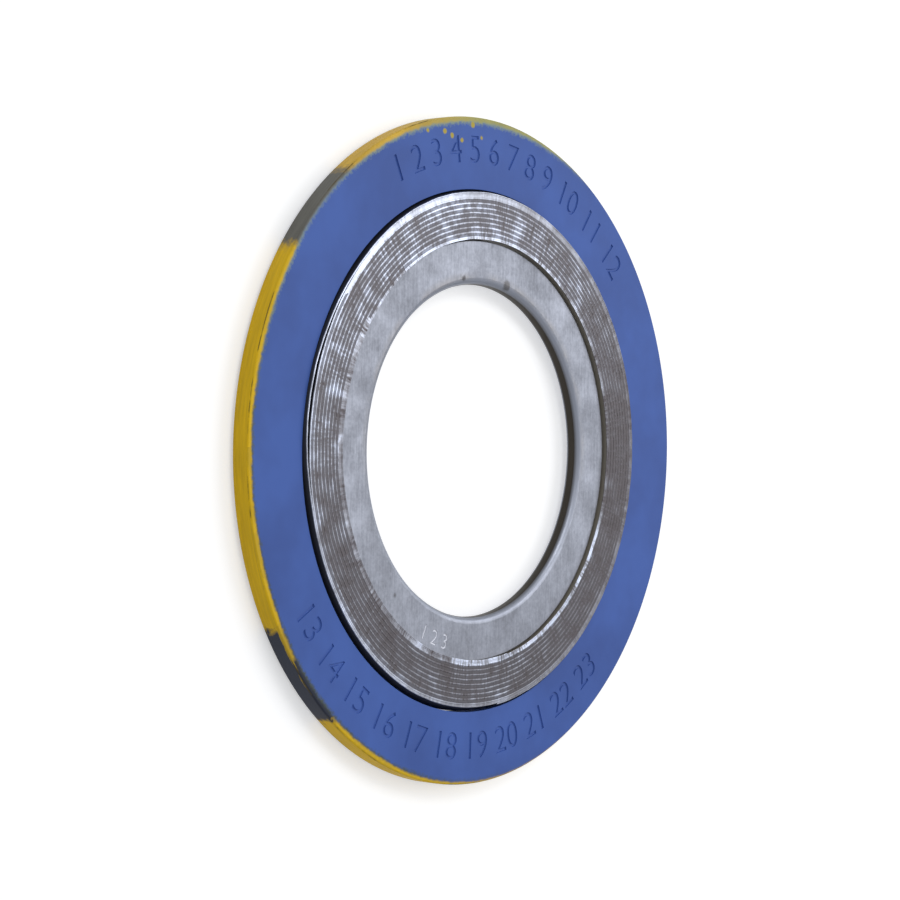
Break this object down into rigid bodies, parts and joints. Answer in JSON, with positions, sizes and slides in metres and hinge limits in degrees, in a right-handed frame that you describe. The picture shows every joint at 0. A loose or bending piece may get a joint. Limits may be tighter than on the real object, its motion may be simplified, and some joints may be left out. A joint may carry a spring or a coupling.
{
  "type": "spiral wound gasket",
  "caption": "Flat pipe flange gasket: a V section metal strip wound in a spiral with graphite filler, between an inner ring and a painted outer centering ring.",
  "frame": {"origin": "centre of the lower sealing face of the winding, on the axis of the two rings", "axes": "+Z along the axis, from the lower sealing face to the upper one; the winding lies 0.3 mm towards +Y in its seats"},
  "size_m": [0.1112, 0.1112, 0.0044],
  "materials": {
    "ring_paint": "satin blue paint on carbon steel",
    "inner_ring_steel": "turned stainless steel",
    "strip_steel": "rolled stainless strip",
    "graphite": "flexible graphite, dull dark grey"
  },
  "bodies": {
    "root": {"outer_centering_ring": "ring_paint", "inner_ring": "inner_ring_steel", "winding_strip": "strip_steel", "graphite_filler": "graphite"}
  },
  "joints": []
}
